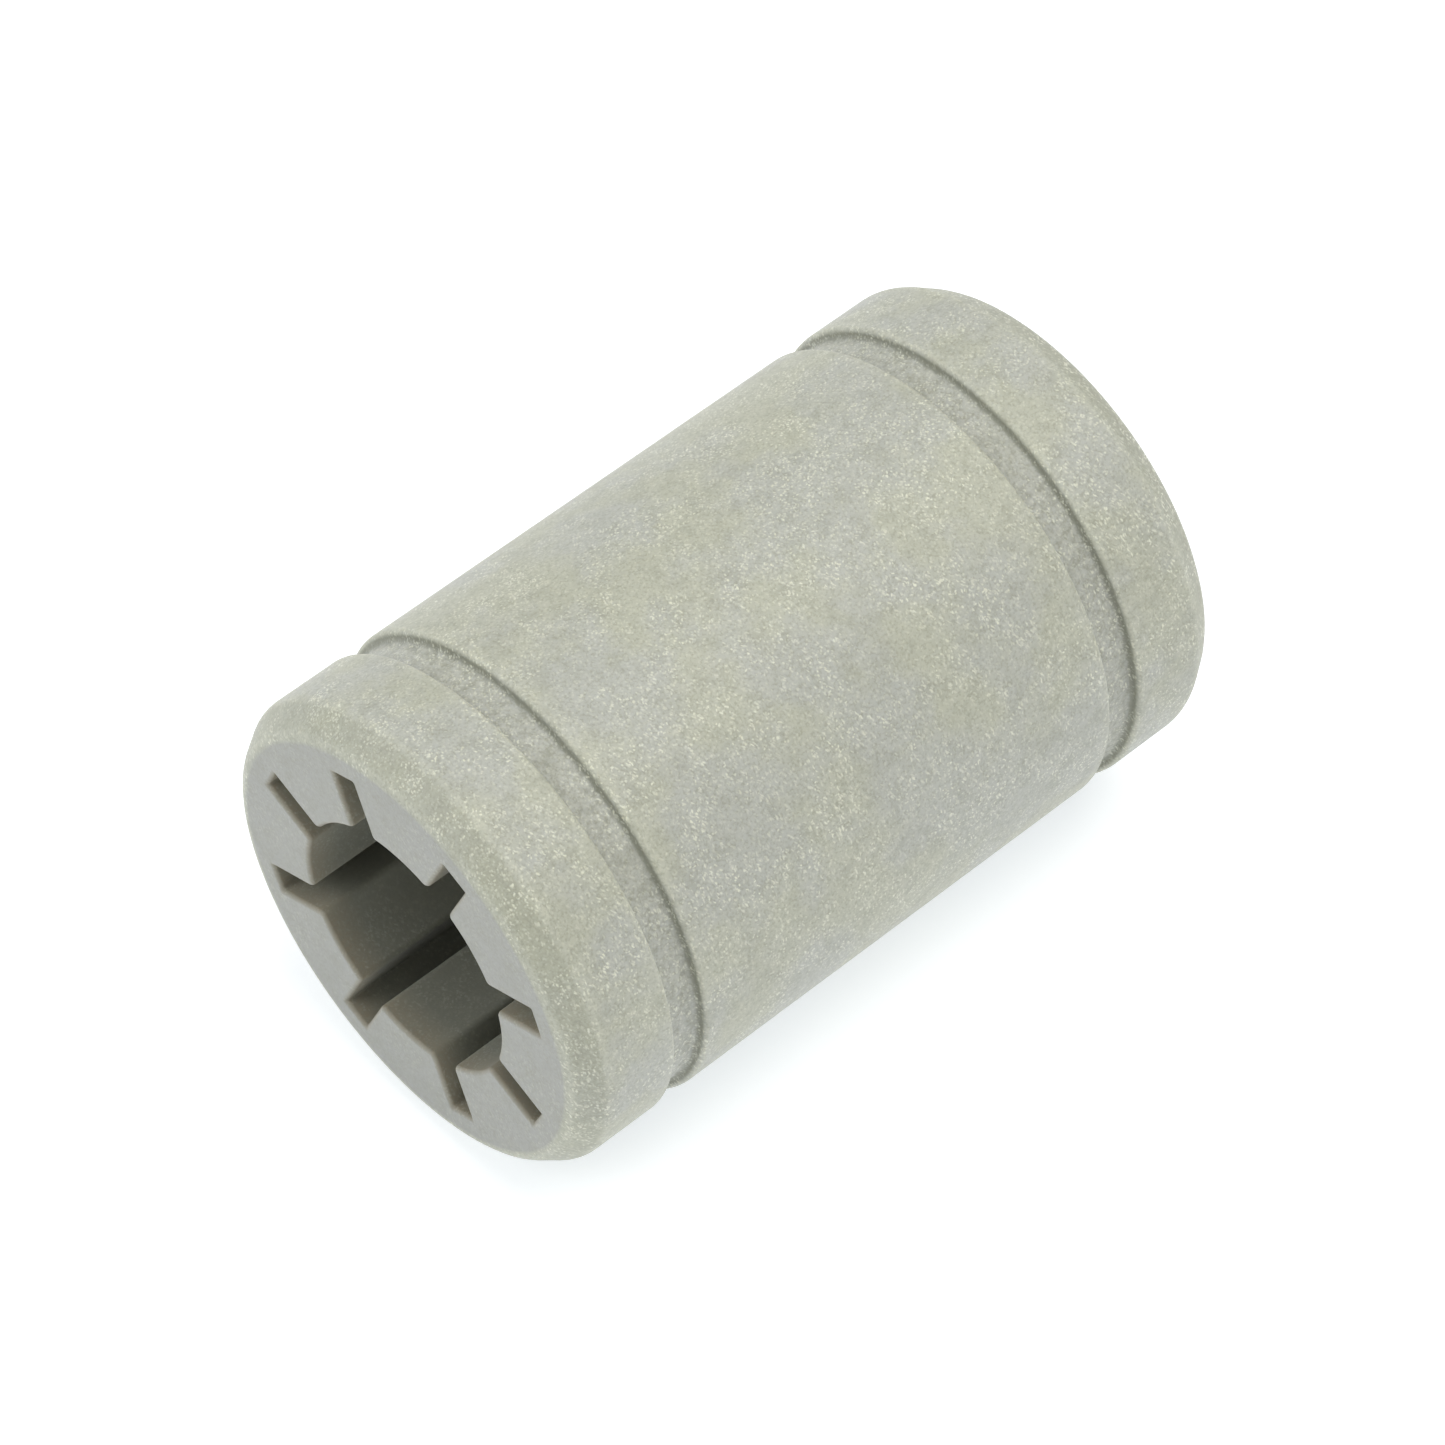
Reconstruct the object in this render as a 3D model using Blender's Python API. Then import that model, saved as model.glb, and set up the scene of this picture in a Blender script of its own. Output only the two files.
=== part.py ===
"""Linear plain bushing for an 8 mm shaft: one piece of solid polymer, with eight slots round its bore.

The bore runs along X, and the origin is the centre of the bore at mid-length. The bushing lies on its
side, so its lowest line is half the outside diameter below the origin. Lengths are in metres.
"""

import math

import bmesh
import bpy
from mathutils import Matrix, Vector

MM = 0.001

# The seat in the housing and the running bore.
OUTSIDE_DIAMETER = 15.0 * MM
LENGTH = 24.0 * MM
BORE_DIAMETER = 8.0 * MM

# The slots that carry dirt out of the bore. Their flat bottoms leave a wall out to the outside diameter.
SLOT_COUNT = 8
SLOT_WIDTH = 0.9 * MM
WALL_BEHIND_SLOT = 1.6 * MM
FIRST_SLOT_ANGLE = math.radians(23.5)
LAND_CORNER_RADIUS = 0.15 * MM

# The two grooves for retaining rings, each one an end collar's length in from its end face.
END_COLLAR_LENGTH = 3.25 * MM
GROOVE_WIDTH = 1.1 * MM
GROOVE_DEPTH = 0.35 * MM
GROOVE_LIP_RADIUS = 0.15 * MM

# The lead-in bevel round each end, longer along the axis than it is deep, with softened edges.
END_BEVEL_AXIAL = 0.9 * MM
END_BEVEL_RADIAL = 0.6 * MM
END_BEVEL_EDGE_RADIUS = 0.6 * MM

# How finely the round stretches are divided.
TURNED_SEGMENTS = 48
EDGE_STEPS = 3
LAND_ARC_STEPS = 6
CORNER_STEPS = 3

# The cutter runs past both end faces, and points closer than the weld distance are one point.
CUTTER_OVERRUN = 1.0 * MM
WELD_DISTANCE = 0.001 * MM
SHARP_EDGE_ANGLE = math.radians(35.0)

POLYMER_COLOUR = (0.47, 0.48, 0.41, 1.0)
POLYMER_ROUGHNESS = 0.6


def clear_scene():
    """Remove every object, so that the script starts from an empty scene."""
    for obj in list(bpy.data.objects):
        bpy.data.objects.remove(obj, do_unlink=True)


def polymer_material():
    """Grey-green bearing polymer with a matt, lightly speckled skin."""
    material = bpy.data.materials.new("bearing_polymer")
    material.use_nodes = True
    shader = material.node_tree.nodes["Principled BSDF"]
    shader.inputs["Base Color"].default_value = POLYMER_COLOUR
    shader.inputs["Roughness"].default_value = POLYMER_ROUGHNESS
    shader.inputs["Metallic"].default_value = 0.0
    return material


def arc(centre, radius, start, end, steps):
    """Points of a circular arc from one angle to another, both ends included."""
    angles = [start + (end - start) * step / steps for step in range(steps + 1)]
    return [Vector(centre) + radius * Vector((math.cos(angle), math.sin(angle))) for angle in angles]


def rounded_corner(before, corner, after, radius, steps):
    """Points of the arc that rounds a corner of an outline and touches both of its sides.

    The arc starts and ends the same distance from the corner: the radius over the tangent of half the
    corner's angle, and no more than half of the shorter side.
    """
    to_before = before - corner
    to_after = after - corner
    half_angle = to_before.angle(to_after) / 2
    reach = min(radius / math.tan(half_angle), to_before.length / 2, to_after.length / 2)
    arc_radius = reach * math.tan(half_angle)
    middle = (to_before.normalized() + to_after.normalized()).normalized()
    centre = corner + middle * arc_radius / math.sin(half_angle)
    first = corner + to_before.normalized() * reach - centre
    sweep = first.angle_signed(corner + to_after.normalized() * reach - centre)
    turns = [Matrix.Rotation(-sweep * step / steps, 2) for step in range(steps + 1)]
    return [centre + turn @ first for turn in turns]


def half_profile():
    """Outline (x, radius) of the half at +X, from the barrel's groove to the centre of the end face.

    The middle of the barrel only gives the first corner its direction, so it is left out.
    """
    radius = OUTSIDE_DIAMETER / 2
    end = LENGTH / 2
    groove_outer = end - END_COLLAR_LENGTH
    groove_inner = groove_outer - GROOVE_WIDTH
    groove_floor = radius - GROOVE_DEPTH
    corners = [
        (Vector((0.0, radius)), None),
        (Vector((groove_inner, radius)), GROOVE_LIP_RADIUS),
        (Vector((groove_inner, groove_floor)), None),
        (Vector((groove_outer, groove_floor)), None),
        (Vector((groove_outer, radius)), GROOVE_LIP_RADIUS),
        (Vector((end - END_BEVEL_AXIAL, radius)), END_BEVEL_EDGE_RADIUS),
        (Vector((end, radius - END_BEVEL_RADIAL)), END_BEVEL_EDGE_RADIUS),
        (Vector((end, 0.0)), None),
    ]
    points = []
    for index, (corner, edge_radius) in enumerate(corners):
        if edge_radius is None:
            points.append(corner)
            continue
        before = corners[index - 1][0]
        after = corners[index + 1][0]
        points += rounded_corner(before, corner, after, edge_radius, EDGE_STEPS)
    return points[1:]


def blank_mesh():
    """Turn the whole outline about X into a solid bar with bevelled ends and two grooves.

    The turned surface is made of flat strips, whose edges lie on the true round surface. The number of
    strips is a multiple of four, so that edges lie straight up, down, left and right of the axis.
    """
    right_half = half_profile()
    left_half = [Vector((-point.x, point.y)) for point in reversed(right_half)]
    bm = bmesh.new()
    rim = []
    for point in left_half + right_half:
        rim.append(bm.verts.new((point.x, 0.0, point.y)))
    edges = [bm.edges.new(pair) for pair in zip(rim, rim[1:])]
    bmesh.ops.spin(
        bm,
        geom=rim + edges,
        cent=(0.0, 0.0, 0.0),
        axis=(1.0, 0.0, 0.0),
        angle=2 * math.pi,
        steps=TURNED_SEGMENTS,
        use_merge=True,
    )
    return finish_mesh(bm, "bushing_blank")


def slot_outline():
    """Outline of one slot that points along +X, from the bore on one side, round it, to the bore again.

    The corner between the slot's side and the bore is rounded about a point that lies one corner radius
    outside the bore and one corner radius beside the slot.
    """
    half_width = SLOT_WIDTH / 2
    bottom = OUTSIDE_DIAMETER / 2 - WALL_BEHIND_SLOT
    corner_side = half_width + LAND_CORNER_RADIUS
    corner_out = math.sqrt((BORE_DIAMETER / 2 + LAND_CORNER_RADIUS) ** 2 - corner_side**2)
    towards_bore = math.pi + math.atan2(corner_side, corner_out)
    straight_down = 1.5 * math.pi
    corner = arc((corner_out, corner_side), LAND_CORNER_RADIUS, straight_down, towards_bore, CORNER_STEPS)
    upper_side = [Vector((bottom, half_width))] + corner
    lower_side = [Vector((point.x, -point.y)) for point in reversed(upper_side)]
    return lower_side + upper_side


def land_arc():
    """Bore points of the land that follows the first slot, without the two points its corners hold."""
    corner_point = slot_outline()[-1]
    start = math.atan2(corner_point.y, corner_point.x)
    end = 2 * math.pi / SLOT_COUNT - start
    bore_radius = corner_point.length
    return arc((0.0, 0.0), bore_radius, start, end, LAND_ARC_STEPS)[1:-1]


def cutter_mesh():
    """Extrude the bore and its slots, as one star-shaped outline, through the whole length."""
    sector = slot_outline() + land_arc()
    outline = []
    for index in range(SLOT_COUNT):
        turn = Matrix.Rotation(2 * math.pi * index / SLOT_COUNT, 2)
        outline += [turn @ point for point in sector]
    reach = LENGTH / 2 + CUTTER_OVERRUN
    bm = bmesh.new()
    star = bm.faces.new([bm.verts.new((-reach, point.x, point.y)) for point in outline])
    grown = bmesh.ops.extrude_face_region(bm, geom=[star])
    moved = [item for item in grown["geom"] if isinstance(item, bmesh.types.BMVert)]
    bmesh.ops.translate(bm, verts=moved, vec=(2 * reach, 0.0, 0.0))
    return finish_mesh(bm, "bore_and_slots")


def finish_mesh(bm, name):
    """Weld doubled points, turn the faces outwards and hand the mesh over."""
    bmesh.ops.remove_doubles(bm, verts=bm.verts, dist=WELD_DISTANCE)
    bmesh.ops.recalc_face_normals(bm, faces=bm.faces)
    mesh = bpy.data.meshes.new(name)
    bm.to_mesh(mesh)
    bm.free()
    return mesh


def add_object(name, mesh, parent=None):
    """Link a new object to the scene and, if it has one, to its parent."""
    obj = bpy.data.objects.new(name, mesh)
    bpy.context.scene.collection.objects.link(obj)
    obj.parent = parent
    return obj


def make_cutter(parent):
    """The star that removes the bore and the slots, turned to the first slot's angle."""
    cutter = add_object("bore_and_slots", cutter_mesh(), parent)
    cutter.rotation_euler.x = FIRST_SLOT_ANGLE
    cutter.hide_render = True
    cutter.display_type = "WIRE"
    return cutter


def cut_away(body, cutter):
    """Cut the body, keep the result as its mesh, and shade its round faces smooth."""
    cut = body.modifiers.new("bore_and_slots", "BOOLEAN")
    cut.operation = "DIFFERENCE"
    cut.solver = "EXACT"
    cut.object = cutter
    depsgraph = bpy.context.evaluated_depsgraph_get()
    body.data = bpy.data.meshes.new_from_object(body.evaluated_get(depsgraph))
    body.modifiers.clear()
    body.data.shade_smooth()
    body.data.set_sharp_from_angle(angle=SHARP_EDGE_ANGLE)


def main():
    clear_scene()
    centre = add_object("bore_centre", None)
    body = add_object("bushing_body", blank_mesh(), centre)
    body.data.materials.append(polymer_material())
    cut_away(body, make_cutter(centre))


main()
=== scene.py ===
# %% [markdown]
# # A plain linear bushing, moulded in bearing polymer
#
# This lesson makes one small machine part look real: a tube of grey-green polymer, 24 mm long and
# 15 mm across, that slides along an 8 mm shaft. Eight slots run through its bore and carry dirt away,
# and a groove near each end takes a retaining ring. It is a single moulding, so there is one piece to
# make, and everything that the eye reads is in its edges and its speckled skin.
#
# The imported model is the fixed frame. It gives the place and the overall size, and all work is done
# around it in metres, with +Z up.

# %% Load the frame
import math

import bpy
import numpy as np
from mathutils import Euler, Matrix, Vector


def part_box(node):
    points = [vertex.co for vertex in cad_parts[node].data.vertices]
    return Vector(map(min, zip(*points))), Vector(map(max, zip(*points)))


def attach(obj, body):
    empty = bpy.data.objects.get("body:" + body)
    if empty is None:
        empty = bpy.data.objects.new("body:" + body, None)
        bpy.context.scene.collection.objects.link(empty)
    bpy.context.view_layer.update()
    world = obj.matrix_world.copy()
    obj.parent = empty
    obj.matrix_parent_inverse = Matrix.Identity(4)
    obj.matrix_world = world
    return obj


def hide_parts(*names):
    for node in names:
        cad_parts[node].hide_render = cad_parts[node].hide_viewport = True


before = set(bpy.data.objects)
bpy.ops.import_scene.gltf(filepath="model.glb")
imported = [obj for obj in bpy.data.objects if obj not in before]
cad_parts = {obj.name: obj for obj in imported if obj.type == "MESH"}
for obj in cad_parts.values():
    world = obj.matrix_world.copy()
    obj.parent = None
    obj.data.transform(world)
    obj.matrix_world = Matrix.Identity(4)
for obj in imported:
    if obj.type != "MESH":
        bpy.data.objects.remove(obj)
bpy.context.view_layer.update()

# %% [markdown]
# ## Sizes
#
# A designer writes each size down once. The length and the outside diameter are read from the frame,
# so the skin made here can't drift away from the solid. The bore, the slots and the grooves are the
# design sizes of such a bushing. The last few sizes are the small roundings that a mould leaves on
# every edge. Most are only a tenth or two of a millimetre, but without them no edge would catch any
# light.

# %% Sizes of the bushing
MM = 0.001

low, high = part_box("bushing_body")
HALF_LENGTH = (high.x - low.x) / 2
OUTSIDE_RADIUS = (high.z - low.z) / 2

BORE_RADIUS = 4.0 * MM
SLOT_COUNT = 8
SLOT_HALF_WIDTH = 0.45 * MM
SLOT_BOTTOM = OUTSIDE_RADIUS - 1.6 * MM
FIRST_SLOT_ANGLE = math.radians(23.5)

COLLAR_LENGTH = 3.25 * MM
GROOVE_WIDTH = 1.1 * MM
GROOVE_DEPTH = 0.35 * MM
BEVEL_AXIAL = 0.9 * MM
BEVEL_RADIAL = 0.6 * MM

BEVEL_EDGE_RADIUS = 0.6 * MM
GROOVE_LIP_RADIUS = 0.15 * MM
GROOVE_FLOOR_RADIUS = 0.17 * MM
LAND_CORNER_RADIUS = 0.20 * MM
SLOT_CORNER_RADIUS = 0.08 * MM
MOUTH_RADIUS = 0.14 * MM

print(f"{2000 * HALF_LENGTH:.2f} mm long, {2000 * OUTSIDE_RADIUS:.2f} mm across")

# %% [markdown]
# ## The star round the bore
#
# Seen from its end, the hole is a circle with eight slots, like a star with blunt points. The star is
# the same all the way through, so it could be a curve that is extruded, or a Boolean cut. Here it is
# worked out as points instead, because a grid of points gives clean, even faces and a rounded mouth.
#
# Half of one slot and half of its neighbouring land are enough. A mirror and seven turns make the rest.
# The outline can also grow by a small distance, with every side moving outwards by that much. That is
# what rounds the mouth of the bore later on.

# %% Points of the star
LAND_POINTS = 9
CORNER_POINTS = 5
SIDE_POINTS = 7
BOTTOM_CORNER_POINTS = 4
BOTTOM_POINTS = 3


def steps(start, stop, count):
    """Evenly spaced numbers from start, the last one a step short of stop."""
    return np.linspace(start, stop, count, endpoint=False)


def arc(centre, radius, start, stop, count):
    """Points centre + radius * (cos a, sin a), for angles a from start to a step short of stop."""
    angle = steps(start, stop, count)
    return np.stack([centre[0] + radius * np.cos(angle), centre[1] + radius * np.sin(angle)], axis=-1)


def line(start, stop, count):
    """Points evenly spaced on a straight line, the last one a step short of its end."""
    return np.array(start) + steps(0.0, 1.0, count)[:, None] * (np.array(stop) - np.array(start))


def turned(points, angle):
    """Points turned about the centre: (x cos a - y sin a, x sin a + y cos a)."""
    x, y = points[..., 0], points[..., 1]
    return np.stack([x * np.cos(angle) - y * np.sin(angle), x * np.sin(angle) + y * np.cos(angle)], axis=-1)


def half_tooth(grow):
    """From the middle of a slot's bottom, up its side and over the corner, to the middle of the land.

    The slot points along the first axis. Growing moves each side outwards by grow. The corners of the
    land lose that much of their radius, and the corners of the slot's bottom keep theirs. The land's
    corner circle touches the slot's side and the bore, so its centre is one corner radius from both.
    """
    half_width, bottom = SLOT_HALF_WIDTH + grow, SLOT_BOTTOM + grow
    bore = BORE_RADIUS + grow
    round_bottom, round_land = SLOT_CORNER_RADIUS, LAND_CORNER_RADIUS - grow
    beside = half_width + round_land
    out = math.sqrt((bore + round_land) ** 2 - beside**2)
    first_land_angle = math.atan2(beside, out)
    quarter = math.pi / 2
    corner_out, corner_beside = bottom - round_bottom, half_width - round_bottom
    return np.concatenate([
        line((bottom, 0.0), (bottom, corner_beside), BOTTOM_POINTS),
        arc((corner_out, corner_beside), round_bottom, 0.0, quarter, BOTTOM_CORNER_POINTS),
        line((corner_out, half_width), (out, half_width), SIDE_POINTS),
        arc((out, beside), round_land, 3 * quarter, 2 * quarter + first_land_angle, CORNER_POINTS),
        arc((0.0, 0.0), bore, first_land_angle, math.pi / SLOT_COUNT, LAND_POINTS),
    ])


def star(grow):
    """The whole outline of the hole as (y, z) points, one after the other round the axis.

    The other half of a tooth is the first half mirrored in the middle line of the land: a point at
    angle a goes to the angle of one pitch less a. Its points are used in reverse, one place later, so
    that the land's middle point and the next slot's bottom point are each made only once.
    """
    pitch = 2 * math.pi / SLOT_COUNT
    first = half_tooth(grow)
    land_middle = (BORE_RADIUS + grow) * np.array([[math.cos(pitch / 2), math.sin(pitch / 2)]])
    mirrored = turned(first[:0:-1] * (1, -1), pitch)
    tooth = np.concatenate([first, land_middle, mirrored])
    turns = FIRST_SLOT_ANGLE + pitch * np.arange(SLOT_COUNT)
    return np.concatenate([turned(tooth, turn) for turn in turns])


AROUND = len(star(0.0))
print(AROUND, "points round the star,", AROUND // SLOT_COUNT, "to a slot and its land")

# %% [markdown]
# ## The turned outline
#
# Everything outside the bore is round, so it only needs an outline of (x, radius) points, as a lathe
# would follow it. From the end face it goes over the lead-in bevel, along the collar, down into the
# groove, across its floor, up its far wall and along the barrel to the middle.
#
# Each corner of the outline is given with its own rounding, and each straight run with its own spacing.
# The groove's floor gets the closest rows, because it will carry a relief of its own.

# %% Points of the turned outline
ARC_ROWS = 5
RING_RADIUS = OUTSIDE_RADIUS - BEVEL_RADIAL
GROOVE_FLOOR = OUTSIDE_RADIUS - GROOVE_DEPTH
GROOVE_OUTER = HALF_LENGTH - COLLAR_LENGTH
GROOVE_INNER = GROOVE_OUTER - GROOVE_WIDTH

CORNERS = [
    # x, radius, rounding, spacing of the rows that follow
    (HALF_LENGTH, RING_RADIUS, BEVEL_EDGE_RADIUS, 0.15 * MM),
    (HALF_LENGTH - BEVEL_AXIAL, OUTSIDE_RADIUS, BEVEL_EDGE_RADIUS, 0.30 * MM),
    (GROOVE_OUTER, OUTSIDE_RADIUS, GROOVE_LIP_RADIUS, 0.10 * MM),
    (GROOVE_OUTER, GROOVE_FLOOR, GROOVE_FLOOR_RADIUS, 0.08 * MM),
    (GROOVE_INNER, GROOVE_FLOOR, GROOVE_FLOOR_RADIUS, 0.10 * MM),
    (GROOVE_INNER, OUTSIDE_RADIUS, GROOVE_LIP_RADIUS, 0.36 * MM),
]


def rounded(before, corner, after, radius, count):
    """The arc that rounds a corner and touches both of its sides, both ends included.

    It starts and ends at the distance radius / tan(half angle) from the corner, but no further than
    half of the shorter side. The angle is swept evenly from one touching point to the other.
    """
    to_before, to_after = before - corner, after - corner
    long_before, long_after = np.linalg.norm(to_before), np.linalg.norm(to_after)
    to_before, to_after = to_before / long_before, to_after / long_after
    half_angle = math.acos(np.clip(to_before @ to_after, -1.0, 1.0)) / 2
    reach = min(radius / math.tan(half_angle), long_before / 2, long_after / 2)
    radius = reach * math.tan(half_angle)
    middle = (to_before + to_after) / np.linalg.norm(to_before + to_after)
    centre = corner + middle * radius / math.sin(half_angle)
    first = corner + to_before * reach - centre
    last = corner + to_after * reach - centre
    sweep = math.atan2(first[0] * last[1] - first[1] * last[0], first @ last)
    return centre + turned(first[None, :], np.linspace(0.0, sweep, count))


def turned_outline():
    """(x, radius) rows from the flat ring of the end face to the middle of the barrel."""
    corners = np.array([corner[:2] for corner in CORNERS])
    path = np.concatenate([[(HALF_LENGTH, BORE_RADIUS)], corners, [(0.0, OUTSIDE_RADIUS)]])
    rows = []
    for index, (x, radius, rounding, spacing) in enumerate(CORNERS):
        bend = rounded(*path[index:index + 3], rounding, ARC_ROWS)
        if rows:
            previous, gap = rows[-1][-1], np.linalg.norm(bend[0] - rows[-1][-1])
            rows.append(line(previous, bend[0], max(1, round(gap / run_spacing)))[1:])
        rows.append(bend)
        run_spacing = spacing
    middle = path[-1]
    count = round((rows[-1][-1][0] - middle[0]) / run_spacing)
    rows.append(line(rows[-1][-1], middle, count)[1:])
    return np.concatenate(rows)


outline = turned_outline()
print(len(outline), "rows on the outside of one half")

# %% [markdown]
# ## One closed surface
#
# The whole moulding is a single grid, closed both ways like the skin of a ring. One way goes round the
# axis. The other way goes through the bore, out over its rounded mouth, across the flat end face, along
# the outside and back in at the other end. There is no pole and no seam, so nothing has to be stitched.
#
# Each row of the grid is a mix of two loops: the star, grown a little at the mouth, and a circle. The
# mix is 0 inside the bore and 1 outside, and on the end face it goes from one to the other.

# %% Rows from the middle of the bore to the middle of the barrel
BORE_ROWS = 12
MOUTH_ROWS = 8
FACE_ROWS = 8
SAME_PLACE = 1e-9

mouth_angle = steps(0.0, math.pi / 2, MOUTH_ROWS)
mouth_x = HALF_LENGTH - MOUTH_RADIUS + MOUTH_RADIUS * np.sin(mouth_angle)
mouth_grow = MOUTH_RADIUS * (1 - np.cos(mouth_angle))
face_mix = 0.5 - 0.5 * np.cos(steps(0.0, math.pi, FACE_ROWS))
bore_x = steps(0.0, HALF_LENGTH - MOUTH_RADIUS, BORE_ROWS)

half_x = np.concatenate([bore_x, mouth_x, np.full(FACE_ROWS, HALF_LENGTH), outline[:, 0]])
half_grow = np.concatenate([
    np.zeros(BORE_ROWS), mouth_grow, np.full(FACE_ROWS + len(outline), MOUTH_RADIUS)
])
half_mix = np.concatenate([np.zeros(BORE_ROWS + MOUTH_ROWS), face_mix, np.ones(len(outline))])
half_radius = np.concatenate([
    np.full(BORE_ROWS + MOUTH_ROWS + FACE_ROWS, outline[0, 1]), outline[:, 1]
])


def both_halves(values, sign=1):
    """The rows of the +X half, then the -X half as their mirror image, in reverse order.

    The first row, at the middle of the bore, is its own mirror image, so it is used once.
    """
    return np.concatenate([values, sign * values[:0:-1]])


row_x = both_halves(np.append(half_x, 0.0), -1)
row_grow = both_halves(np.append(half_grow, MOUTH_RADIUS))
row_mix = both_halves(np.append(half_mix, 1.0))
row_radius = both_halves(np.append(half_radius, OUTSIDE_RADIUS))

# Where two runs meet, the last row of one may be the first row of the next, and it is kept once.
step_on = np.abs(np.diff(row_x)) + np.abs(np.diff(row_mix)) + np.abs(np.diff(row_radius))
keep_rows = np.append(True, step_on > SAME_PLACE)
row_x, row_grow, row_mix, row_radius = (
    values[keep_rows] for values in (row_x, row_grow, row_mix, row_radius)
)
ROWS = len(row_x)
print(ROWS, "rows,", 2 * ROWS * AROUND, "triangles")

# %% The surface
EVEN_SPREAD = 0.5


def circle_angles():
    """Angle of each point on the circles: halfway between the star's own angle and an even spread."""
    points = star(0.0)
    own = np.unwrap(np.arctan2(points[:, 1], points[:, 0]))
    even = FIRST_SLOT_ANGLE + 2 * math.pi * np.arange(AROUND) / AROUND
    return (1 - EVEN_SPREAD) * own + EVEN_SPREAD * even


def moulding():
    """Grid of points (x, (1 - mix) * star(grow) + mix * radius * (cos a, sin a))."""
    stars = np.stack([star(grow) for grow in row_grow])
    angle = circle_angles()
    circles = row_radius[:, None, None] * np.stack([np.cos(angle), np.sin(angle)], axis=-1)
    mix = row_mix[:, None, None]
    across = (1 - mix) * stars + mix * circles
    along = np.broadcast_to(row_x[:, None, None], across.shape[:2] + (1,))
    return np.concatenate([along, across], axis=-1)


points = moulding()
print("grid of", points.shape[:2], "points, reaching from", points.min((0, 1)), "to", points.max((0, 1)))

# %% [markdown]
# ## A little relief
#
# No moulding is as true as its drawing. The groove floors of this one are grainy, with shallow pits up
# to six hundredths of a millimetre deep. Modelling them as real relief, and not only as a bump in the
# material, lets the groove catch light from any side. The skin of the rest is almost smooth.
#
# The relief is a sum of sine waves, each with its own random direction in space. Because every wave is
# a function of the place in space, the pattern meets itself all the way round with no seam.

# %% Relief of the outside
WAVES = 60
GRAIN_WAVELENGTHS = (0.22 * MM, 0.60 * MM)
GROOVE_RELIEF = 0.022 * MM
SKIN_RELIEF = 0.0015 * MM
DEEPEST_WAVE = 2.5
RELIEF_SEED = 4


def smooth_step(low_edge, high_edge, value):
    """0 below the low edge, 1 above the high edge, and t * t * (3 - 2 t) in between."""
    t = np.clip((value - low_edge) / (high_edge - low_edge), 0.0, 1.0)
    return t * t * (3 - 2 * t)


def waves(places, wavelengths, seed):
    """Sum of sin(2 pi k . place + phase) over random directions k, scaled to a spread of about 1."""
    rng = np.random.default_rng(seed)
    directions = rng.normal(size=(WAVES, 3))
    directions /= np.linalg.norm(directions, axis=1, keepdims=True)
    lengths = rng.uniform(*wavelengths, size=(WAVES, 1))
    phases = rng.uniform(0.0, 2 * math.pi, size=WAVES)
    return np.sin(2 * math.pi * places @ (directions / lengths).T + phases).sum(-1) * math.sqrt(2 / WAVES)


# The bevels reach below the groove floors, so a row also has to lie inwards of the groove's outer wall.
sunk = OUTSIDE_RADIUS - row_radius
in_groove = row_mix * smooth_step(0.3 * GROOVE_DEPTH, 0.9 * GROOVE_DEPTH, sunk)
in_groove *= np.abs(row_x) < GROOVE_OUTER + 0.01 * MM
on_outside = (row_mix == 1) & (np.abs(row_x) < HALF_LENGTH - 0.5 * BEVEL_AXIAL)
relief_depth = np.where(on_outside, SKIN_RELIEF, 0.0) + GROOVE_RELIEF * in_groove
relief = relief_depth[:, None] * np.clip(waves(points, GRAIN_WAVELENGTHS, RELIEF_SEED), -DEEPEST_WAVE, 0.0)
outward = points * (0.0, 1.0, 1.0) / OUTSIDE_RADIUS
points = points + relief[..., None] * outward
print(f"relief down to {1e6 * -relief.min():.0f} microns, in the grooves")

# %% [markdown]
# ## What each part of the skin looks like
#
# One material covers the whole moulding, but its skin isn't the same everywhere. The end faces are
# smooth and cooler in colour, the bevels are more olive and darker, and the groove floors are coarser.
# The bevels' extra darkness is painted shade, as they face away from the light, and the groove walls
# get a darker olive that is painted shade for their recess. The bore is painted a darker olive too, as
# shade. The bevels' edges and the grooves' lips have a fine pale line, which is a painted highlight.
# Light that enters the polymer near the mouth of the bore comes out again warmer, and that glow is
# painted as a warm tint over the first few tenths of a millimetre inside.
#
# Each of these is a number between 0 and 1 for every row, worked out from its place on the outline.
# They are saved with the mesh as named attributes, for the material to read.

# %% Attributes of the skin
EDGE_REACH = 0.13 * MM
MOUTH_REACH = 0.34 * MM
WALL_REACH = 0.16 * MM
FACE_EDGE_RADIUS = outline[ARC_ROWS // 2, 1]
FACE_EDGE_INSET = 0.03 * MM
LIP_INSET = 0.05 * MM

# The end face's grey goes on into the bore, where the bore's darker colour, painted shade, covers it
# more and more over the rounded mouth.
depth_in = HALF_LENGTH - np.abs(row_x)
on_face = row_radius <= outline[0, 1] + SAME_PLACE
# Where the painted highlight line lies: the end face's edge, the bevel's edge and the two groove lips.
edge_corners = np.array([
    (HALF_LENGTH - FACE_EDGE_INSET, FACE_EDGE_RADIUS),
    (HALF_LENGTH - BEVEL_AXIAL, OUTSIDE_RADIUS),
    (GROOVE_OUTER + LIP_INSET, OUTSIDE_RADIUS),
    (GROOVE_INNER - LIP_INSET, OUTSIDE_RADIUS),
])
place = np.stack([np.abs(row_x), row_radius], axis=-1)
nearest = np.linalg.norm(place[:, None] - edge_corners[None], axis=-1).min(1)
turned_in = np.sqrt(np.clip(depth_in / MOUTH_RADIUS, 0.0, 1.0)) * (row_mix == 0)
inner_glow = np.exp(-((depth_in / MOUTH_REACH) ** 2))
from_wall = np.minimum(np.abs(GROOVE_OUTER - np.abs(row_x)), np.abs(np.abs(row_x) - GROOVE_INNER))
on_wall = smooth_step(0.05 * MM, 0.20 * MM, sunk) * (row_mix == 1) * (depth_in > BEVEL_AXIAL)
on_wall *= smooth_step(0.0, 0.05 * MM, row_radius - GROOVE_FLOOR)

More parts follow.
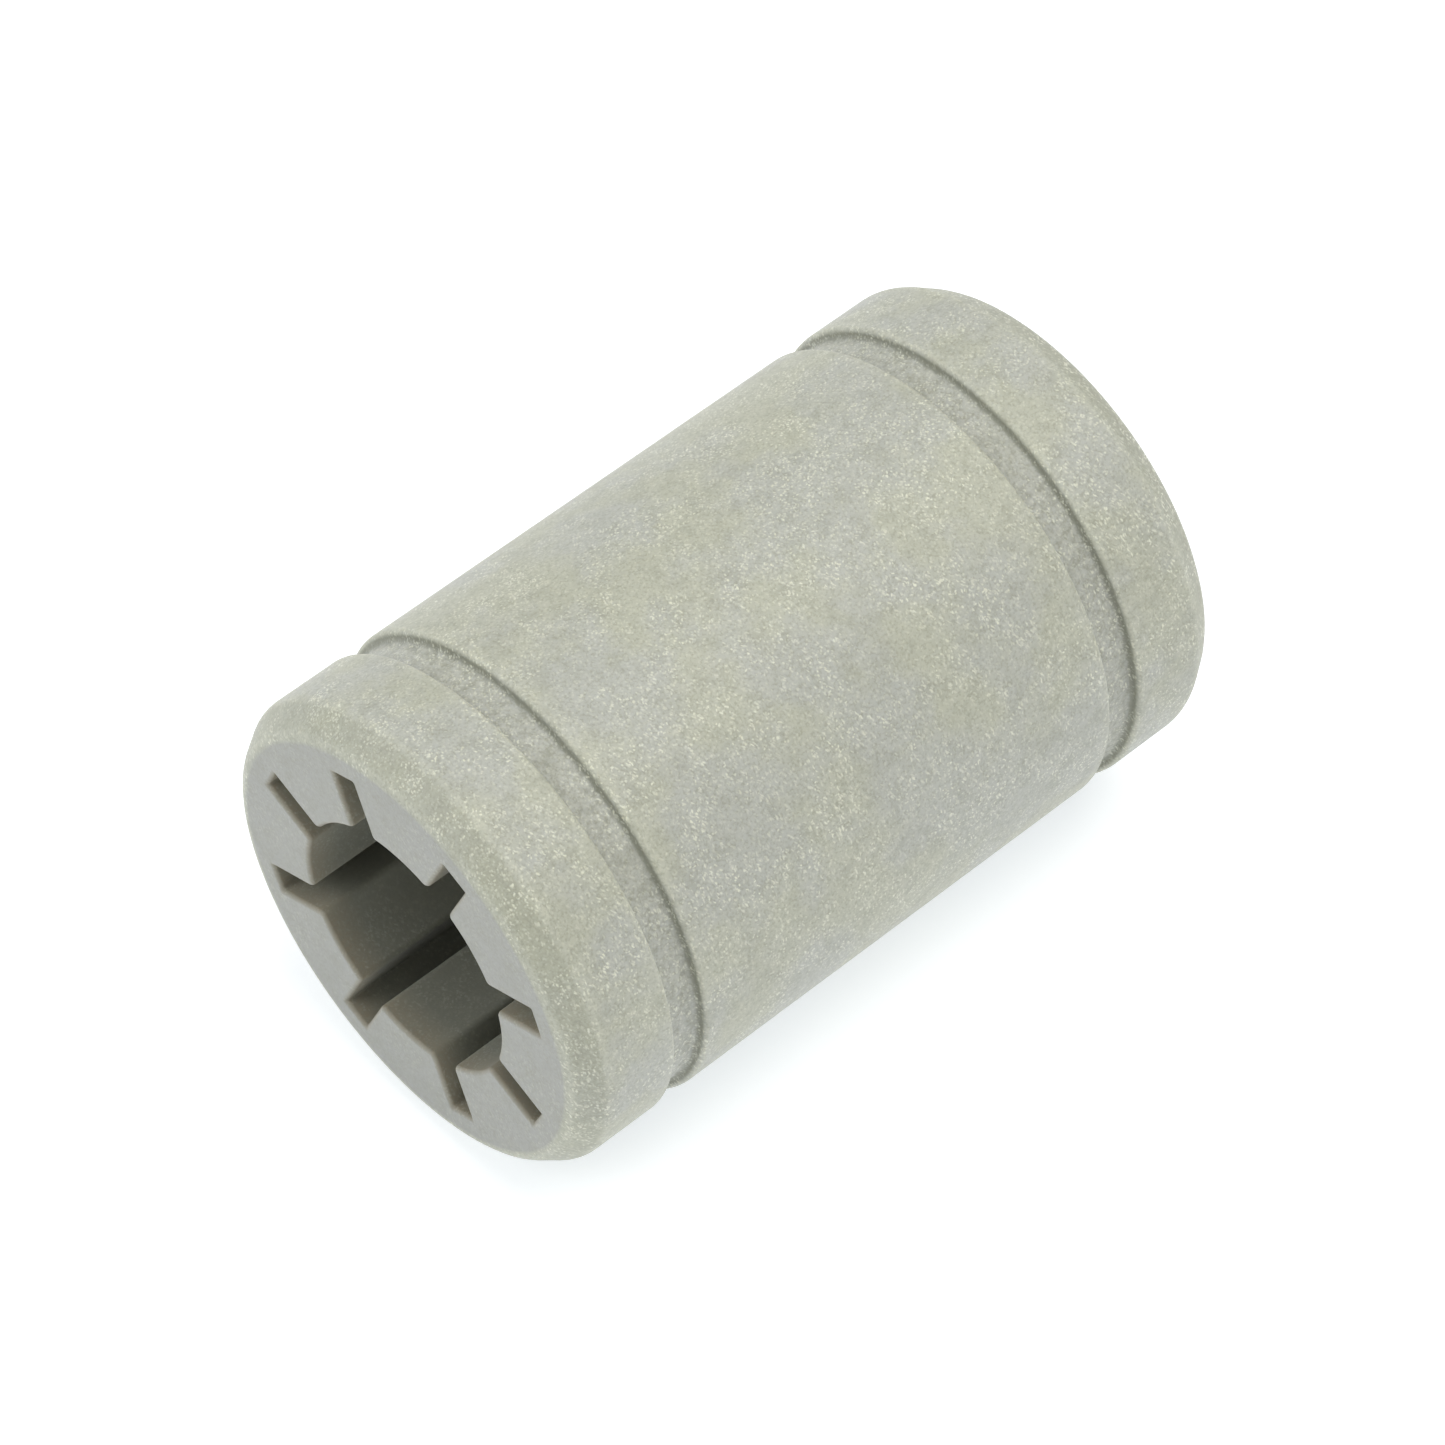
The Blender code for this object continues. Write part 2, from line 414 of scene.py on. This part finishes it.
skin = {
    "end_face": on_face * 1.0,
    # More olive and darker on the bevels; the darkness is painted shade, as they face away from the light.
    "bevel": row_mix * smooth_step(0.0, 0.15 * MM, BEVEL_AXIAL - depth_in) * ~on_face,
    "groove": in_groove,
    # Painted shade: a darker olive on the groove walls, for the shade in the groove.
    "groove_wall_shade": np.exp(-(from_wall / WALL_REACH) ** 2) * on_wall,
    # Painted highlight: a fine pale line along the face's edge, the bevel's edge and the groove lips.
    "edge_highlight": np.exp(-(nearest / EDGE_REACH) ** 2) * (row_mix == 1),
    # Painted shade: the bore's darker olive, for the shade inside the bore.
    "bore_wall_shade": turned_in,
    # Painted glow: a warm, lighter tint just inside the mouth, for light that comes out of the polymer
    # there.
    "mouth_glow": turned_in * inner_glow,
}
for name, values in skin.items():
    print(f"{name}: on {np.count_nonzero(values > 0.05)} of {ROWS} rows")

# %% [markdown]
# ## Into a mesh
#
# A grid that closes both ways needs no list of special cases: the neighbour of the last row is the
# first row. Each face joins four neighbours, in the order that turns it outwards. The volume inside is
# then a quick test of both things. It is only right, and positive, if the skin has no hole and no face
# looks the wrong way.

# %% The finished piece


def closed_grid(rows, columns):
    """Corner numbers of each face: (row, column), next row, next row and column, next column."""
    row, column = np.meshgrid(np.arange(rows), np.arange(columns), indexing="ij")
    next_row, next_column = (row + 1) % rows, (column + 1) % columns
    corners = [row * columns + column, next_row * columns + column]
    corners += [next_row * columns + next_column, row * columns + next_column]
    return np.stack([corner.ravel() for corner in corners], axis=-1)


def enclosed_volume(places, quads):
    """Sum over the triangles of corner . (corner x corner) / 6."""
    triangles = np.concatenate([quads[:, [0, 1, 2]], quads[:, [0, 2, 3]]])
    first, second, third = (places[triangles[:, index]] for index in range(3))
    return np.einsum("ij,ij->", first, np.cross(second, third)) / 6


def mesh_piece(name, grid, quads):
    """A smooth mesh object at the origin, with its place in its mesh."""
    mesh = bpy.data.meshes.new(name)
    mesh.from_pydata(grid.reshape(-1, 3), [], quads)
    mesh.shade_smooth()
    piece = bpy.data.objects.new(name, mesh)
    bpy.context.scene.collection.objects.link(piece)
    return piece


quads = closed_grid(ROWS, AROUND)
if enclosed_volume(points.reshape(-1, 3), quads) < 0:
    quads = quads[:, ::-1]
bushing = mesh_piece("bushing_moulding", points, quads)
for name, values in skin.items():
    attribute = bushing.data.attributes.new(name, "FLOAT", "POINT")
    attribute.data.foreach_set("value", np.repeat(values, AROUND).astype(np.float32))

volume = enclosed_volume(points.reshape(-1, 3), quads)
print(f"{bushing.name}: {len(quads)} faces round {1e9 * volume:.0f} cubic mm of polymer")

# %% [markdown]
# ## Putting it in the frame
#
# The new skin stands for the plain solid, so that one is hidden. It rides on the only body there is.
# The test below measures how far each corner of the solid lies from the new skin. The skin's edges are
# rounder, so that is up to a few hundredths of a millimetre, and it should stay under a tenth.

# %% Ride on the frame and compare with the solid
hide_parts("bushing_body")
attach(bushing, "root")

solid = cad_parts["bushing_body"]
bpy.context.view_layer.update()
gaps = [(bushing.closest_point_on_mesh(corner.co)[1] - corner.co).length for corner in solid.data.vertices]
print(f"the solid's corners lie within {1000 * max(gaps):.3f} mm of the skin")

# %% [markdown]
# ## The polymer
#
# Bearing polymer isn't one colour. Under the skin lie short glass fibres and grains of solid lubricant,
# so from close by the surface is a soft grey-green with cream flecks, thickest in some patches and
# nearly absent in others. A picture could carry that, but it would blur as soon as the camera came
# close. Noise in space has any fineness, and it passes round every edge without a seam.
#
# The material reads each point's place on the object. First come a few small helpers, so that each layer
# below can be said in a line or two.

# %% Helpers for the material


def add_node(tree, kind, inputs, **settings):
    """A new node. Each input is a value, or another node's output to link to."""
    node = tree.nodes.new(kind)
    for name, value in settings.items():
        setattr(node, name, value)
    for socket, value in inputs.items():
        if isinstance(value, bpy.types.NodeSocket):
            tree.links.new(value, node.inputs[socket])
        else:
            node.inputs[socket].default_value = value
    return node


def maths(tree, operation, first, second):
    """The result of one operation on two numbers, such as their sum, product or greater one."""
    return add_node(tree, "ShaderNodeMath", {0: first, 1: second}, operation=operation).outputs[0]


def remap(tree, value, from_low, from_high, to_low=0.0, to_high=1.0):
    """A smooth climb from one number to another, while the value goes from its low to its high."""
    inputs = {
        "Value": value, "From Min": from_low, "From Max": from_high, "To Min": to_low, "To Max": to_high
    }
    return add_node(tree, "ShaderNodeMapRange", inputs, interpolation_type="SMOOTHSTEP").outputs[0]


def paint(tree, amount, under, over):
    """One colour laid over another by the given amount."""
    mix = add_node(tree, "ShaderNodeMix", {0: amount, 6: under, 7: over}, data_type="RGBA")
    return mix.outputs[2]


def noise(tree, place, grain, detail, roughness=0.5):
    """Soft noise whose blotches are about one grain across."""
    inputs = {"Vector": place, "Scale": 1 / grain, "Detail": detail, "Roughness": roughness}
    return add_node(tree, "ShaderNodeTexNoise", inputs).outputs["Fac"]


def skin_value(tree, name):
    """One of the mesh's own attributes."""
    return add_node(tree, "ShaderNodeAttribute", {}, attribute_name=name).outputs["Fac"]


print("helpers ready")

# %% [markdown]
# ## Fibres and grains
#
# A short fibre is a long, thin blob somewhere in the polymer, and what shows is where the surface cuts
# it. So space is filled with points, one to a cell, and a fleck is whatever lies close to a point. The
# cells are stretched along one direction, which makes the flecks long. Four such layers, each turned
# another way, give fibres that point every way. Every point also has a random number of its own. A high
# power of it keeps most flecks faint and leaves a few bright, as some lie deep and some at the surface.

# %% Layers of flecks
FIBRE_LAYERS = [
    # length and thickness of a cell, and the way it is turned
    (0.30 * MM, 0.095 * MM, (0.3, 0.5, 0.9)),
    (0.26 * MM, 0.085 * MM, (1.4, -0.6, 2.3)),
    (0.34 * MM, 0.105 * MM, (-0.8, 1.1, -0.5)),
    (0.28 * MM, 0.090 * MM, (0.9, 2.0, 1.5)),
]
GRAIN_CELL = 0.22 * MM
GRAIN_TURN = (0.2, 0.4, 0.1)
FLECK_WANDER = 0.08 * MM

# A fleck's radius is a share of its cell, and its core is a share of the radius. A higher rarity leaves
# fewer of the flecks bright.
FIBRE_RADIUS, FIBRE_RARITY = 0.45, 2.4
GRAIN_RADIUS, GRAIN_RARITY = 0.28, 4.0
FLECK_CORE = 0.35


def flecks(tree, place, length, thickness, turn, radius, rarity):
    """1 in each fleck's core and 0 beyond its radius, times its random number to the power rarity."""
    stretched = add_node(tree, "ShaderNodeMapping", {
        "Vector": place, "Rotation": Euler(turn), "Scale": Vector((length, thickness, thickness))
    }, vector_type="TEXTURE")
    cells = add_node(tree, "ShaderNodeTexVoronoi", {"Vector": stretched.outputs[0], "Scale": 1.0})
    near = remap(tree, cells.outputs["Distance"], radius, FLECK_CORE * radius)
    chance = add_node(tree, "ShaderNodeSeparateColor", {"Color": cells.outputs["Color"]}).outputs[0]
    return maths(tree, "MULTIPLY", near, maths(tree, "POWER", chance, rarity))


def wandering(tree, place, grain, reach):
    """The place, shifted by up to half the reach each way by soft noise, so that no blob stays regular."""
    shift = add_node(tree, "ShaderNodeTexNoise", {"Vector": place, "Scale": 1 / grain, "Detail": 1.0})
    centred = add_node(
        tree, "ShaderNodeVectorMath", {0: shift.outputs["Color"], 1: (0.5, 0.5, 0.5)}, operation="SUBTRACT"
    )
    scaled = add_node(
        tree, "ShaderNodeVectorMath", {0: centred.outputs[0], "Scale": reach}, operation="SCALE"
    )
    moved = add_node(tree, "ShaderNodeVectorMath", {0: place, 1: scaled.outputs[0]}, operation="ADD")
    return moved.outputs[0]


def all_flecks(tree, place):
    """The strongest fleck of any layer at each place."""
    place = wandering(tree, place, 1.2 * FLECK_WANDER, FLECK_WANDER)
    strongest = flecks(tree, place, GRAIN_CELL, GRAIN_CELL, GRAIN_TURN, GRAIN_RADIUS, GRAIN_RARITY)
    for length, thickness, turn in FIBRE_LAYERS:
        layer = flecks(tree, place, length, thickness, turn, FIBRE_RADIUS, FIBRE_RARITY)
        strongest = maths(tree, "MAXIMUM", strongest, layer)
    return strongest


print(len(FIBRE_LAYERS), "layers of fibres and one of grains")

# %% [markdown]
# ## Colours and finish
#
# The colours are laid on like washes. Broad patches go from warm olive to cooler grey. The washes for
# each part of the skin come next, then a mottling and a fine grain that break all of them up, dark pits
# in the grooves, and the cream flecks last. The flecks also stand a little proud and are glossier, like
# glass, so they glint. Light travels a few tenths of a millimetre through this polymer, which softens
# its edges.

# %% The material
WARM_OLIVE = (0.410, 0.418, 0.344, 1.0)
COOL_GREY = (0.395, 0.405, 0.370, 1.0)
FACE_GREY = (0.288, 0.291, 0.275, 1.0)
# Painted shade: the bevels' colour is darker as well as more olive.
BEVEL_SHADE_OLIVE = (0.325, 0.332, 0.258, 1.0)
GROOVE_GREY = (0.395, 0.403, 0.372, 1.0)
# Painted shade for the groove walls.
WALL_SHADE_OLIVE = (0.190, 0.195, 0.142, 1.0)
# Painted shade for the inside of the bore.
BORE_SHADE_OLIVE = (0.200, 0.202, 0.165, 1.0)
# Painted glow for the light that comes out of the polymer just inside the mouth.
GLOW_BROWN = (0.290, 0.245, 0.170, 1.0)
# Painted highlight for the fine pale line on the edges.
EDGE_HIGHLIGHT_CREAM = (0.480, 0.488, 0.410, 1.0)
FLECK_CREAM = (0.700, 0.710, 0.590, 1.0)
DARK_SPECK = (0.235, 0.240, 0.190, 1.0)

# Each wash of the skin lies on the ones before it, by its strength times its attribute.
SKIN_WASHES = [
    ("end_face", 0.90, FACE_GREY),
    ("bevel", 0.65, BEVEL_SHADE_OLIVE),
    ("groove", 0.75, GROOVE_GREY),
    ("groove_wall_shade", 0.70, WALL_SHADE_OLIVE),
    ("bore_wall_shade", 1.00, BORE_SHADE_OLIVE),
    ("mouth_glow", 0.74, GLOW_BROWN),
    ("edge_highlight", 0.55, EDGE_HIGHLIGHT_CREAM),
]

# Sizes of the blotches, how strongly each kind shows, and the span of its noise over which it comes up.
PATCH, PATCH_SPAN = 3.0 * MM, (0.40, 0.60)
MOTTLE, MOTTLE_STRENGTH = 0.55 * MM, 0.33
FINE_GRAIN, GRAIN_STRENGTH = 0.09 * MM, 0.48
SPECK_SPAN = (0.42, 0.72)
COARSE_GRAIN, PIT_STRENGTH, PIT_SPAN = 0.20 * MM, 0.45, (0.46, 0.66)

# Flecks thin out to the fewest between their crowded patches, and again where the skin is smooth.
FLECK_STRENGTH = 0.77
CROWDED_PATCH, CROWDING_SPAN = 1.4 * MM, (0.35, 0.62)
FEWEST_FLECKS = 0.35
SMOOTH_SKIN_FLECKS = 0.25

# Heights are in units of the bump's own height, and the two roughnesses are of the skin and its flecks.
GRAIN_HEIGHT, PIT_DEPTH = 0.8, 4.0
BUMP_HEIGHT, BUMP_STRENGTH = 0.010 * MM, 0.6
ROUGHNESS = (0.56, 0.36)
SHEEN_SHARE, SHEEN_ROUGHNESS = 0.10, 0.5
SCATTER_SHARE, SCATTER_DEPTH = 0.25, 0.35 * MM
SCATTER_COLOUR = (1.0, 0.85, 0.55)


def bearing_polymer():
    """Grey-green polymer with patches, mottling, cream flecks and glossy fibres."""
    material = bpy.data.materials.new("bearing_polymer")
    material.use_nodes = True
    tree = material.node_tree
    shader = tree.nodes["Principled BSDF"]
    place = add_node(tree, "ShaderNodeTexCoord", {}).outputs["Object"]

    patches = remap(tree, noise(tree, place, PATCH, 3.0, 0.55), *PATCH_SPAN)
    colour = paint(tree, patches, WARM_OLIVE, COOL_GREY)
    for name, strength, wash in SKIN_WASHES:
        amount = maths(tree, "MULTIPLY", skin_value(tree, name), strength)
        colour = paint(tree, amount, colour, wash)

    mottle = noise(tree, place, MOTTLE, 3.0, 0.6)
    grain = noise(tree, place, FINE_GRAIN, 2.0, 0.6)
    pits = maths(tree, "MULTIPLY", noise(tree, place, COARSE_GRAIN, 2.0, 0.6), skin_value(tree, "groove"))
    colour = paint(tree, remap(tree, mottle, *SPECK_SPAN, 0.0, MOTTLE_STRENGTH), colour, DARK_SPECK)
    colour = paint(tree, remap(tree, grain, *SPECK_SPAN, 0.0, GRAIN_STRENGTH), colour, DARK_SPECK)
    colour = paint(tree, remap(tree, pits, *PIT_SPAN, 0.0, PIT_STRENGTH), colour, DARK_SPECK)

    crowding = remap(tree, noise(tree, place, CROWDED_PATCH, 2.0), *CROWDING_SPAN, FEWEST_FLECKS, 1.0)
    smooth_skin = maths(tree, "MAXIMUM", skin_value(tree, "end_face"), skin_value(tree, "bore_wall_shade"))
    thinning = remap(tree, smooth_skin, 0.0, 1.0, 1.0, SMOOTH_SKIN_FLECKS)
    shown = maths(tree, "MULTIPLY", all_flecks(tree, place), maths(tree, "MULTIPLY", crowding, thinning))
    colour = paint(tree, maths(tree, "MULTIPLY", shown, FLECK_STRENGTH), colour, FLECK_CREAM)

    height = maths(tree, "ADD", shown, maths(tree, "MULTIPLY", grain, GRAIN_HEIGHT))
    height = maths(tree, "SUBTRACT", height, maths(tree, "MULTIPLY", pits, PIT_DEPTH))
    bump = add_node(tree, "ShaderNodeBump", {
        "Height": height, "Distance": BUMP_HEIGHT, "Strength": BUMP_STRENGTH
    })
    tree.links.new(colour, shader.inputs["Base Color"])
    tree.links.new(remap(tree, shown, 0.0, 1.0, *ROUGHNESS), shader.inputs["Roughness"])
    tree.links.new(bump.outputs[0], shader.inputs["Normal"])
    shader.inputs["Sheen Weight"].default_value = SHEEN_SHARE
    shader.inputs["Sheen Roughness"].default_value = SHEEN_ROUGHNESS
    shader.inputs["Subsurface Weight"].default_value = SCATTER_SHARE
    shader.inputs["Subsurface Radius"].default_value = SCATTER_COLOUR
    shader.inputs["Subsurface Scale"].default_value = SCATTER_DEPTH
    return material


bushing.data.materials.append(bearing_polymer())
print("material nodes:", len(bushing.data.materials[0].node_tree.nodes))

# %% [markdown]
# ## The table and the light
#
# A small part shows best with almost no shadow, so it lies on a white sheet in a white room. A white
# world gives that even light, and the sheet glows a little too, like the top of a light table, which
# keeps the shadow on it faint. One broad softbox overhead and a weaker one at the upper left then shape
# the barrel a little. The one overhead is faintly warm and the other faintly cool, so the top of the
# barrel looks more olive than the near end face.
#
# The barrel rests on the sheet, so the sheet is level with the lowest line of the bushing.

# %% Table and lights
TABLE_HALF_SIZE = 0.6
TABLE_WHITE = (0.70, 0.70, 0.70, 1.0)
TABLE_GLOW = (0.90, 0.95, 1.00, 1.0)
TABLE_GLOW_STRENGTH = 0.54
WORLD_STRENGTH = 0.52
SOFTBOXES = [
    # name, place, side length, power, colour
    ("overhead_softbox", (0.08, -0.08, 0.40), 0.34, 1.28, (1.0, 0.99, 0.94)),
    ("upper_left_softbox", (-0.33, 0.19, 0.25), 0.26, 0.68, (0.96, 0.98, 1.0)),
]

floor_corners = np.array([(-1, -1), (1, -1), (1, 1), (-1, 1)]) * TABLE_HALF_SIZE
floor_mesh = bpy.data.meshes.new("table")
floor_mesh.from_pydata([(x, y, low.z) for x, y in floor_corners], [], [(0, 1, 2, 3)])
floor = bpy.data.objects.new("table", floor_mesh)
bpy.context.scene.collection.objects.link(floor)
paper = bpy.data.materials.new("white_sheet")
paper.use_nodes = True
sheet = paper.node_tree.nodes["Principled BSDF"].inputs
sheet["Base Color"].default_value = TABLE_WHITE
sheet["Roughness"].default_value = 0.9
sheet["Specular IOR Level"].default_value = 0.1
sheet["Emission Color"].default_value = TABLE_GLOW
sheet["Emission Strength"].default_value = TABLE_GLOW_STRENGTH
floor_mesh.materials.append(paper)

world = bpy.data.worlds.new("white_room")
world.use_nodes = True
world.node_tree.nodes["Background"].inputs["Color"].default_value = (1.0, 1.0, 1.0, 1.0)
world.node_tree.nodes["Background"].inputs["Strength"].default_value = WORLD_STRENGTH
bpy.context.scene.world = world


def softbox(name, place, size, power, colour):
    """A square area light that looks at the middle of the bushing."""
    light = bpy.data.lights.new(name, "AREA")
    light.size, light.energy, light.color = size, power, colour
    lamp = bpy.data.objects.new(name, light)
    lamp.location = place
    lamp.rotation_euler = (-Vector(place)).to_track_quat("-Z", "Y").to_euler()
    bpy.context.scene.collection.objects.link(lamp)
    return lamp


lamps = [softbox(*settings) for settings in SOFTBOXES]
print("lights:", [lamp.name for lamp in lamps])

# %% [markdown]
# ## The camera
#
# The bushing is seen from above and from its near end, through a long lens: the two ends look nearly
# the same size, which a short lens wouldn't give. The camera is placed by the two angles of its line of
# sight and by its distance from the point it looks at, which is close to the middle of the bushing.

# %% Camera
CAMERA_AZIMUTH = math.radians(-42.38)
CAMERA_ELEVATION = math.radians(51.40)
CAMERA_DISTANCE = 183.3 * MM
LENS, SENSOR = 163.1, 36.0
LOOKS_AT = Vector((-0.202, 0.0213, -0.0962)) * MM

towards_camera = Vector((
    math.sin(CAMERA_AZIMUTH) * math.cos(CAMERA_ELEVATION),
    -math.cos(CAMERA_AZIMUTH) * math.cos(CAMERA_ELEVATION),
    math.sin(CAMERA_ELEVATION),
))
camera_data = bpy.data.cameras.new("camera")
camera_data.lens, camera_data.sensor_width = LENS, SENSOR
camera_data.clip_start = 1.0 * MM
camera = bpy.data.objects.new("camera", camera_data)
camera.location = LOOKS_AT + CAMERA_DISTANCE * towards_camera
camera.rotation_euler = towards_camera.to_track_quat("Z", "Y").to_euler()
bpy.context.scene.collection.objects.link(camera)
bpy.context.scene.camera = camera
bpy.context.scene.view_settings.view_transform = "Standard"
print("camera at", [round(1000 * value, 1) for value in camera.location], "mm")
